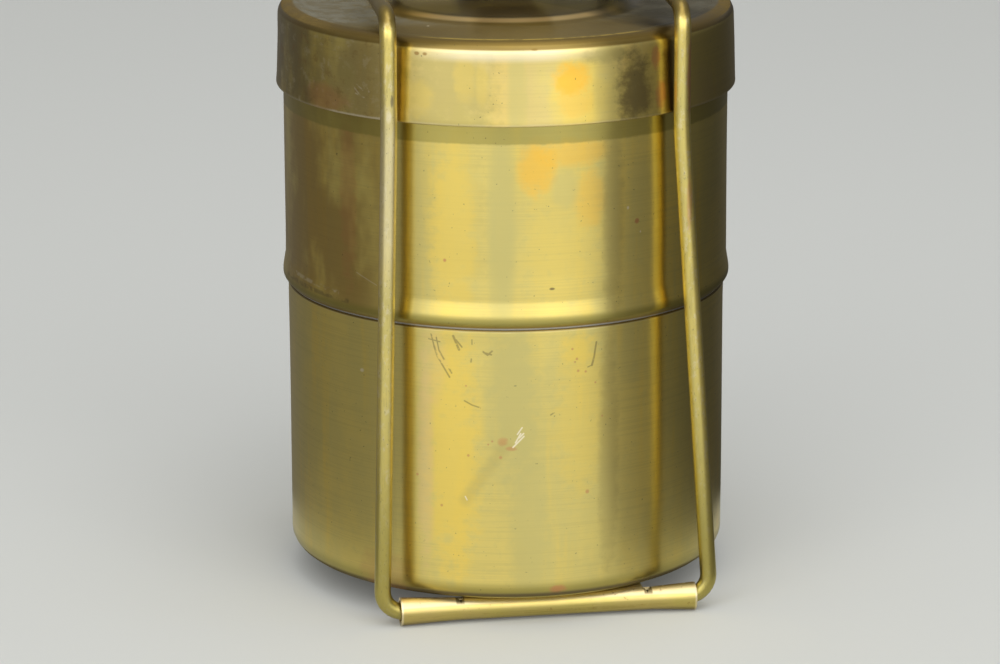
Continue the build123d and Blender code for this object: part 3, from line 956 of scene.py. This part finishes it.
def eased(node, name, width):
    """A copy of a CAD node with its points merged and its sharp edges worn by a small bevel.

    Its broad flat faces are shaded flat.
    """
    broad = 20 * MM * MM
    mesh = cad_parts[node].data.copy()
    tidy = bmesh.new()
    tidy.from_mesh(mesh)
    bmesh.ops.remove_doubles(tidy, verts=tidy.verts, dist=1e-6)
    bmesh.ops.dissolve_limit(tidy, angle_limit=radians(0.8), verts=tidy.verts, edges=tidy.edges)
    tidy.to_mesh(mesh)
    tidy.free()
    mesh.materials.clear()
    mesh.polygons.foreach_set("use_smooth", [face.area < broad for face in mesh.polygons])
    piece = in_scene(name, mesh)
    worn(piece, width, angle=40).harden_normals = True
    return piece


catch_brass = sheet_brass("catch_brass")
catch_plate = dressed(eased("catch_plate", "catch_plate_sheet", width=0.14), catch_brass)
hasp = dressed(eased("hasp", "hasp_tongue", width=0.14), catch_brass)

staple_low, staple_high = box_mm("catch_staple")
staple_r = 1.1
staple_y = (staple_low[1] + staple_high[1]) / 2
staple_half = 3.5                 # from its middle to each leg
head_r, head_height = 2.0, 0.8


def staple_path():
    """Up one leg, a half circle over and down the other, from under one head to the other's."""
    low, top = staple_low[2] + 0.1, staple_high[2] - staple_r
    points = [(middle_x, staple_y - staple_half, low), (middle_x, staple_y - staple_half, top),
              (middle_x, staple_y + staple_half, top), (middle_x, staple_y + staple_half, low)]
    return with_ends(rounded(points, [staple_half - 0.01] * 2, step=0.35), run=0.3)


def peened_head(y):
    """A flattened dome under the plate: radius R sqrt(1 - h^2.5) at the share h of its height."""
    h = np.linspace(0, 1, 14)[:, None]
    v = full_turn(28)[None, :]
    wide = head_r * np.sqrt(np.clip(1 - h ** 2.5, 0, 1))
    ring = grid_of(middle_x + wide * np.cos(v), y + wide * np.sin(v),
                   staple_low[2] + head_height * (1 - h))
    centre = ring.mean(1, keepdims=True) * np.ones_like(ring)
    return np.concatenate([centre[:1], ring])


rods_brass = rod_brass("hardware_rod_brass")
staple = rod("catch_staple_arch", staple_path(), staple_r, sides=24, end_round=0.3)
heads = [surface(f"catch_staple_head_{side}", peened_head(staple_y + y), wrap_columns=True)
         for side, y in (("front", -staple_half), ("rear", staple_half))]

bail_r = 2.0
eye_r = rod_r + running_gap + bail_r
bail_half = (top_x[1] - top_x[0]) / 2
crank_out = 10.0                  # how far the arms stand out from the eyes
crank_start, crank_end = 5, 13    # along the arms, from the crossbar
eye_half = bail_half - crank_out
bail_reach = 44.0
droop = radians(1.5)


def on_rear_bar(points):
    """Turn points drawn round the X axis down by the droop and set them on the rear crossbar."""
    x, y, z = np.moveaxis(np.asarray(points, float), -1, 0)
    return np.stack([middle_x + x, crossbar_y + y * cos(droop) + z * sin(droop),
                     crossbar_z - y * sin(droop) + z * cos(droop)], -1)


def bail_path():
    """Eye, neck, crank, arm, grip run, and the same back; the eyes turn most of the way round."""
    eye_turn = radians(265)
    turn = np.linspace(eye_turn, 0, 60)[:, None]
    first = np.concatenate([-eye_half * np.ones_like(turn), eye_r * -np.sin(turn),
                            eye_r * np.cos(turn)], 1)
    body = rounded(
        [(-eye_half, 0, eye_r), (-eye_half, crank_start, eye_r), (-bail_half, crank_end, eye_r),
         (-bail_half, bail_reach, eye_r), (bail_half, bail_reach, eye_r),
         (bail_half, crank_end, eye_r), (eye_half, crank_start, eye_r), (eye_half, 0, eye_r)],
        [4, 4, 5, 5, 4, 4], step=1.0)
    path = np.concatenate([first[:-1], body, (first[:-1] * (-1, 1, 1))[::-1]])
    return on_rear_bar(path)


bail = rod("handle_bail_rod", bail_path(), bail_r, sides=28, end_round=0.6)
for part in (bail, staple, *heads):
    dressed(part, rods_brass)

grip_half = (grip_high[0] - grip_low[0]) / 2
grip_sheet = 0.7
grip_middle_r = 4.6
grip_neck_r = bail_r + running_gap + grip_sheet
swage_length = 4.0
seam_half_gap = 0.2


def grip_sleeve():
    """The sleeve: (x, R sin v, R cos v), R swaged down at both ends, open along a seam."""
    x = np.linspace(-grip_half, grip_half, 120)[:, None]
    swage = ramp(np.abs(x), grip_half, grip_half - swage_length)
    radius = grip_neck_r + (grip_middle_r - grip_neck_r) * (3 * swage ** 2 - 2 * swage ** 3)
    half_seam = seam_half_gap / radius
    v = pi / 2 + half_seam + (2 * pi - 2 * half_seam) * np.linspace(0, 1, 72)[None, :]
    return on_rear_bar(grid_of(x, bail_reach + radius * np.sin(v), eye_r + radius * np.cos(v)))


grip = surface("handle_grip_sleeve", grip_sleeve(), closed=False)
grip_middle = on_rear_bar((0.0, bail_reach, eye_r))
facing(grip, grip_middle + (0, 0, 30))
thickened(dressed(grip, sheet_brass("grip_brass")), grip_sheet, edge=0.12)


# ---- what rides on what ----

for pieces, body, node, slot in (
        (strap_parts, "base", "base_strap", "strap_brass"),
        ([lower_container], "lower_container", "lower_container", "lower_brass"),
        ([upper_container], "upper_container", "upper_container", "upper_brass"),
        ([lid], "lid", "lid", "lid_brass"),
        ([front_rod], "front_frame", "front_frame", "rod_brass"),
        ([rear_rod], "rear_frame", "rear_frame", "rod_brass"),
        ([catch_plate], "front_frame", "catch_plate", "sheet_brass"),
        ([staple, *heads], "front_frame", "catch_staple", "rod_brass"),
        ([hasp], "hasp", "hasp", "sheet_brass"),
        ([bail], "handle", "handle_bail", "rod_brass"),
        ([grip], "grip", "handle_grip", "grip_brass")):
    for piece in pieces:
        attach(piece, body)
        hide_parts(node)


# ---- floor, light and camera ----

def glow(f, colour, strength, clear=None):
    """An emission alone, let through by the share of it that is clear."""
    surface_shader = f.node("ShaderNodeEmission", inputs={"Color": colour, "Strength": strength})
    if clear is not None:
        nothing = f.node("ShaderNodeBsdfTransparent")
        surface_shader = f.node("ShaderNodeMixShader", inputs={
            0: clear, 1: surface_shader, 2: nothing})
    f.tree.links.new(surface_shader.socket, f.tree.nodes["Material Output"].inputs["Surface"])
    return f.material


def pale_shown(f, colour):
    """The floor's colour, added for what the camera, gloss and glass see of it."""
    path = [f.node("ShaderNodeLightPath", output=name)
            for name in ("Is Camera Ray", "Is Glossy Ray", "Is Transmission Ray")]
    return f.blend((path[0] + path[1] + path[2]).below(1.0), opaque(0, 0, 0), colour)


def plain_floor():
    """A pale matt floor, three metres each way, just under the carrier."""
    reach, drop = 3000, 0.02
    x = np.linspace(-reach, reach, 3)
    floor = surface("floor", grid_of(x[:, None], x[None, :], -drop), closed=False)
    facing(floor, (0, 0, 1000))
    f = Finish("pale_floor")
    dressed(floor, f.shade(
        Base_Color=opaque(0.62, 0.63, 0.61), Roughness=0.6, Specular_IOR_Level=0.0,
        Emission_Color=pale_shown(f, opaque(0.06, 0.061, 0.059)), Emission_Strength=1.0))


def round_the_axis(name, start, end, outline):
    """A sheet (r sin a, -r cos a, z) over an outline (r, z) and the angle a from the front."""
    a = np.radians(np.linspace(start, end, 120))[:, None]
    r, z = np.array(outline, float).T
    return surface(name, grid_of(r * np.sin(a), -r * np.cos(a), z), closed=False)


def window():
    """The one big soft light in front: a curved sheet two metres away, brightest at mid height."""
    outline = [(2000, z) for z in (20, 350, 900, 1500, 2100, 3400, 5200)]
    sheet_light = round_the_axis("window", start=-64, end=62, outline=outline)
    f = Finish("window")
    around = f.read(front_angle(f) * (180 / pi), (
        (-64, 0.0), (-54, 0.78), (-44, 1.0), (-30, 0.92), (-14, 0.8), (0, 0.82), (12, 1.0),
        (24, 0.95), (32, 0.85), (40, 0.55), (50, 0.25), (62, 0.0)))
    up = f.read(f.z, (
        (0.02, 0.55), (0.45, 0.75), (0.9, 0.95), (1.5, 0.85), (2.1, 0.75), (3.4, 0.75), (5.2, 0.6)))
    light = f.blend(around * up, opaque(0, 0, 0), opaque(1, 1, 1))
    sheet_light.data.materials.append(glow(f, light, strength=2.6))
    sheet_light.visible_camera = False


def dark_surround():
    """A dark curved card close round the sides and back, which only reflections see."""
    card = round_the_axis("dark_surround", start=27, end=315, outline=[
        (95, 0.3), (98, 6), (106, 14), (120, 23), (136, 30), (150, 36), (152, 100), (152, 178)])
    f = Finish("dark_surround")
    around = front_angle(f) * (180 / pi)
    level = f.read(around, (
        (-180, 0.25), (-155, 0.16), (-121, 0.19), (-105, 0.21), (-92, 0.24), (-81, 0.25),
        (-72, 0.26), (-55, 0.3), (0, 0.3), (30, 0.36), (38, 0.3), (46, 0.22), (55, 0.19),
        (65, 0.13), (76, 0.1), (89, 0.07), (108, 0.055), (130, 0.08), (150, 0.13), (170, 0.24),
        (180, 0.25)))
    clear = 1.0 - f.step(around, -46, -56).above(f.step(around, 28, 36))
    card.data.materials.append(glow(
        f, f.blend(level, opaque(0, 0, 0), opaque(1, 0.96, 0.86)), strength=1.0, clear=clear))
    f.material.cycles.emission_sampling = "NONE"
    card.visible_camera = card.visible_diffuse = card.visible_shadow = False
    card.visible_transmission = card.visible_volume_scatter = False


def soft_light(name, place, size, power):
    """A soft rectangular light that shines at the carrier and isn't seen itself."""
    lamp = bpy.data.lights.new(name, "AREA")
    lamp.shape, lamp.size, lamp.size_y, lamp.energy = "RECTANGLE", *size, power
    light = in_scene(name, lamp)
    light.location = place
    light.rotation_mode = "QUATERNION"
    mid_carrier = Vector((0, 0, 0.08))
    light.rotation_quaternion = (mid_carrier - Vector(place)).to_track_quat("-Z", "Y")
    light.visible_camera = False


def room(front, back, zenith):
    """A plain room: one level in front, a lower one behind, and its own overhead."""
    world = bpy.data.worlds.new("room")
    world.use_nodes = True
    bpy.context.scene.world = world
    n = Nodes(world.node_tree)
    y, z = n.axes("Generated", "YZ")
    horizon = n.blend(n.step(y, -0.7, 0.3), front, back)
    n.feed(n.tree.nodes["Background"].inputs["Color"],
           n.blend(n.step(z, 0.25, 0.9), horizon, zenith))


plain_floor()
window()
dark_surround()
soft_light("top_light", place=(0.1, -0.2, 1.3), size=(0.8, 0.8), power=3.0)
room(front=opaque(0.45, 0.45, 0.44), back=opaque(0.25, 0.25, 0.24),
     zenith=opaque(0.55, 0.55, 0.54))

camera_bearing = radians(9.5)     # how far left of straight ahead it stands
camera_distance = 1.1757          # on the level, from the carrier's axis, in metres
camera_height = 0.3877
camera_pitch = radians(15.23)
camera_aim = camera_bearing - radians(0.084)
camera_roll = radians(-0.095)

lens = bpy.data.cameras.new("camera")
lens.lens, lens.sensor_width = 153.0, 36.0
camera = in_scene("camera", lens)
camera.location = (-camera_distance * sin(camera_bearing), -camera_distance * cos(camera_bearing),
                   camera_height)
ahead = Vector((sin(camera_aim) * cos(camera_pitch), cos(camera_aim) * cos(camera_pitch),
                -sin(camera_pitch)))
camera.rotation_mode = "QUATERNION"
camera.rotation_quaternion = ahead.to_track_quat("-Z", "Y") @ Quaternion((0, 0, 1), camera_roll)
bpy.context.scene.camera = camera
bpy.context.scene.view_settings.view_transform = "Standard"
